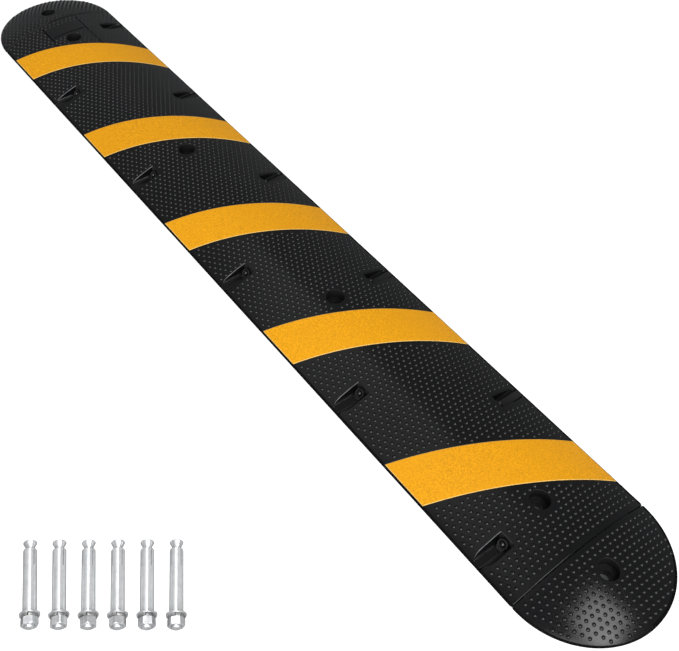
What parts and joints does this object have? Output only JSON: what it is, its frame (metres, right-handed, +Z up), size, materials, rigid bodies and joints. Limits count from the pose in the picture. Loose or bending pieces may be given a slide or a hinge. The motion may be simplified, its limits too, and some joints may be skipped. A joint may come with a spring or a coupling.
{
  "type": "rubber speed bump",
  "caption": "Low rubber speed bump with domed ends, slanting yellow strips, cat's-eye pockets and counterbored anchor holes, with loose expansion anchors beside it.",
  "frame": {"origin": "middle of the body's flat underside, on the road surface", "axes": "+X along the bump across the road, +Y along the traffic, +Z up"},
  "size_m": [2.1312, 0.9301, 0.0409],
  "materials": {
    "black_rubber": "matte moulded rubber with a faint sheen",
    "yellow_reflective_film": "fine granular retroreflective film",
    "reflector_glass": "polished glass bead with a silvered back",
    "zinc_plated_steel": "bright zinc plating",
    "spring_steel": "zinc-plated spring steel"
  },
  "bodies": {
    "bump": {"bump_body": "black_rubber", "yellow_strip_1": "yellow_reflective_film", "yellow_strip_2": "yellow_reflective_film", "yellow_strip_3": "yellow_reflective_film", "yellow_strip_4": "yellow_reflective_film", "yellow_strip_5": "yellow_reflective_film", "cat_eye_bead_left_1": "reflector_glass", "cat_eye_bead_left_2": "reflector_glass", "cat_eye_bead_left_3": "reflector_glass", "cat_eye_bead_left_4": "reflector_glass", "cat_eye_bead_left_5": "reflector_glass", "cat_eye_bead_right_1": "reflector_glass", "cat_eye_bead_right_2": "reflector_glass", "cat_eye_bead_right_3": "reflector_glass", "cat_eye_bead_right_4": "reflector_glass", "cat_eye_bead_right_5": "reflector_glass", "anchor_1_cone_stud": "zinc_plated_steel", "anchor_1_expansion_sleeve": "zinc_plated_steel", "anchor_2_cone_stud": "zinc_plated_steel", "anchor_2_expansion_sleeve": "zinc_plated_steel", "anchor_3_cone_stud": "zinc_plated_steel", "anchor_3_expansion_sleeve": "zinc_plated_steel", "anchor_4_cone_stud": "zinc_plated_steel", "anchor_4_expansion_sleeve": "zinc_plated_steel", "anchor_5_cone_stud": "zinc_plated_steel", "anchor_5_expansion_sleeve": "zinc_plated_steel", "anchor_6_cone_stud": "zinc_plated_steel", "anchor_6_expansion_sleeve": "zinc_plated_steel"},
    "near_cap": {"end_cap_near": "black_rubber"},
    "far_cap": {"end_cap_far": "black_rubber"},
    "anchor_1_washers": {"anchor_1_flat_washer": "zinc_plated_steel", "anchor_1_spring_washer": "spring_steel"},
    "anchor_1_nut": {"anchor_1_hex_nut": "zinc_plated_steel"},
    "anchor_2_washers": {"anchor_2_flat_washer": "zinc_plated_steel", "anchor_2_spring_washer": "spring_steel"},
    "anchor_2_nut": {"anchor_2_hex_nut": "zinc_plated_steel"},
    "anchor_3_washers": {"anchor_3_flat_washer": "zinc_plated_steel", "anchor_3_spring_washer": "spring_steel"},
    "anchor_3_nut": {"anchor_3_hex_nut": "zinc_plated_steel"},
    "anchor_4_washers": {"anchor_4_flat_washer": "zinc_plated_steel", "anchor_4_spring_washer": "spring_steel"},
    "anchor_4_nut": {"anchor_4_hex_nut": "zinc_plated_steel"},
    "anchor_5_washers": {"anchor_5_flat_washer": "zinc_plated_steel", "anchor_5_spring_washer": "spring_steel"},
    "anchor_5_nut": {"anchor_5_hex_nut": "zinc_plated_steel"},
    "anchor_6_washers": {"anchor_6_flat_washer": "zinc_plated_steel", "anchor_6_spring_washer": "spring_steel"},
    "anchor_6_nut": {"anchor_6_hex_nut": "zinc_plated_steel"}
  },
  "joints": [
    {"name": "near_cap_lift", "type": "slide", "parent": "bump", "child": "near_cap", "axis": [0, 0, 1], "range_m": [0, 0.08]},
    {"name": "far_cap_lift", "type": "slide", "parent": "bump", "child": "far_cap", "axis": [0, 0, 1], "range_m": [0, 0.08]},
    {"name": "anchor_1_nut_travel", "type": "slide", "parent": "bump", "child": "anchor_1_washers", "axis": [0.9003, -0.4333, 0.0408], "range_m": [0, 0.0161]},
    {"name": "anchor_1_nut_turn", "type": "hinge", "parent": "anchor_1_washers", "child": "anchor_1_nut", "pos_m": [0.50697, -0.76527, 0.01654], "axis": [0.9003, -0.4333, 0.0408], "range_deg": [0, 2880]},
    {"name": "anchor_2_nut_travel", "type": "slide", "parent": "bump", "child": "anchor_2_washers", "axis": [0.8915, -0.4511, 0.0408], "range_m": [0, 0.0161]},
    {"name": "anchor_2_nut_turn", "type": "hinge", "parent": "anchor_2_washers", "child": "anchor_2_nut", "pos_m": [0.5332, -0.72925, 0.01654], "axis": [0.8915, -0.4511, 0.0408], "range_deg": [0, 2880]},
    {"name": "anchor_3_nut_travel", "type": "slide", "parent": "bump", "child": "anchor_3_washers", "axis": [0.8824, -0.4688, 0.0408], "range_m": [0, 0.0161]},
    {"name": "anchor_3_nut_turn", "type": "hinge", "parent": "anchor_3_washers", "child": "anchor_3_nut", "pos_m": [0.55942, -0.69321, 0.01654], "axis": [0.8824, -0.4688, 0.0408], "range_deg": [0, 2880]},
    {"name": "anchor_4_nut_travel", "type": "slide", "parent": "bump", "child": "anchor_4_washers", "axis": [0.8729, -0.4862, 0.0408], "range_m": [0, 0.0161]},
    {"name": "anchor_4_nut_turn", "type": "hinge", "parent": "anchor_4_washers", "child": "anchor_4_nut", "pos_m": [0.58561, -0.65716, 0.01654], "axis": [0.8729, -0.4862, 0.0408], "range_deg": [0, 2880]},
    {"name": "anchor_5_nut_travel", "type": "slide", "parent": "bump", "child": "anchor_5_washers", "axis": [0.863, -0.5035, 0.0408], "range_m": [0, 0.0161]},
    {"name": "anchor_5_nut_turn", "type": "hinge", "parent": "anchor_5_washers", "child": "anchor_5_nut", "pos_m": [0.61178, -0.6211, 0.01654], "axis": [0.863, -0.5035, 0.0408], "range_deg": [0, 2880]},
    {"name": "anchor_6_nut_travel", "type": "slide", "parent": "bump", "child": "anchor_6_washers", "axis": [0.8528, -0.5206, 0.0408], "range_m": [0, 0.0161]},
    {"name": "anchor_6_nut_turn", "type": "hinge", "parent": "anchor_6_washers", "child": "anchor_6_nut", "pos_m": [0.63793, -0.58503, 0.01654], "axis": [0.8528, -0.5206, 0.0408], "range_deg": [0, 2880]}
  ],
  "couplings": [
    {"joint": "anchor_1_nut_travel", "follows": "anchor_1_nut_turn", "m_per_rad": 0.00031831},
    {"joint": "anchor_2_nut_travel", "follows": "anchor_2_nut_turn", "m_per_rad": 0.00031831},
    {"joint": "anchor_3_nut_travel", "follows": "anchor_3_nut_turn", "m_per_rad": 0.00031831},
    {"joint": "anchor_4_nut_travel", "follows": "anchor_4_nut_turn", "m_per_rad": 0.00031831},
    {"joint": "anchor_5_nut_travel", "follows": "anchor_5_nut_turn", "m_per_rad": 0.00031831},
    {"joint": "anchor_6_nut_travel", "follows": "anchor_6_nut_turn", "m_per_rad": 0.00031831}
  ]
}
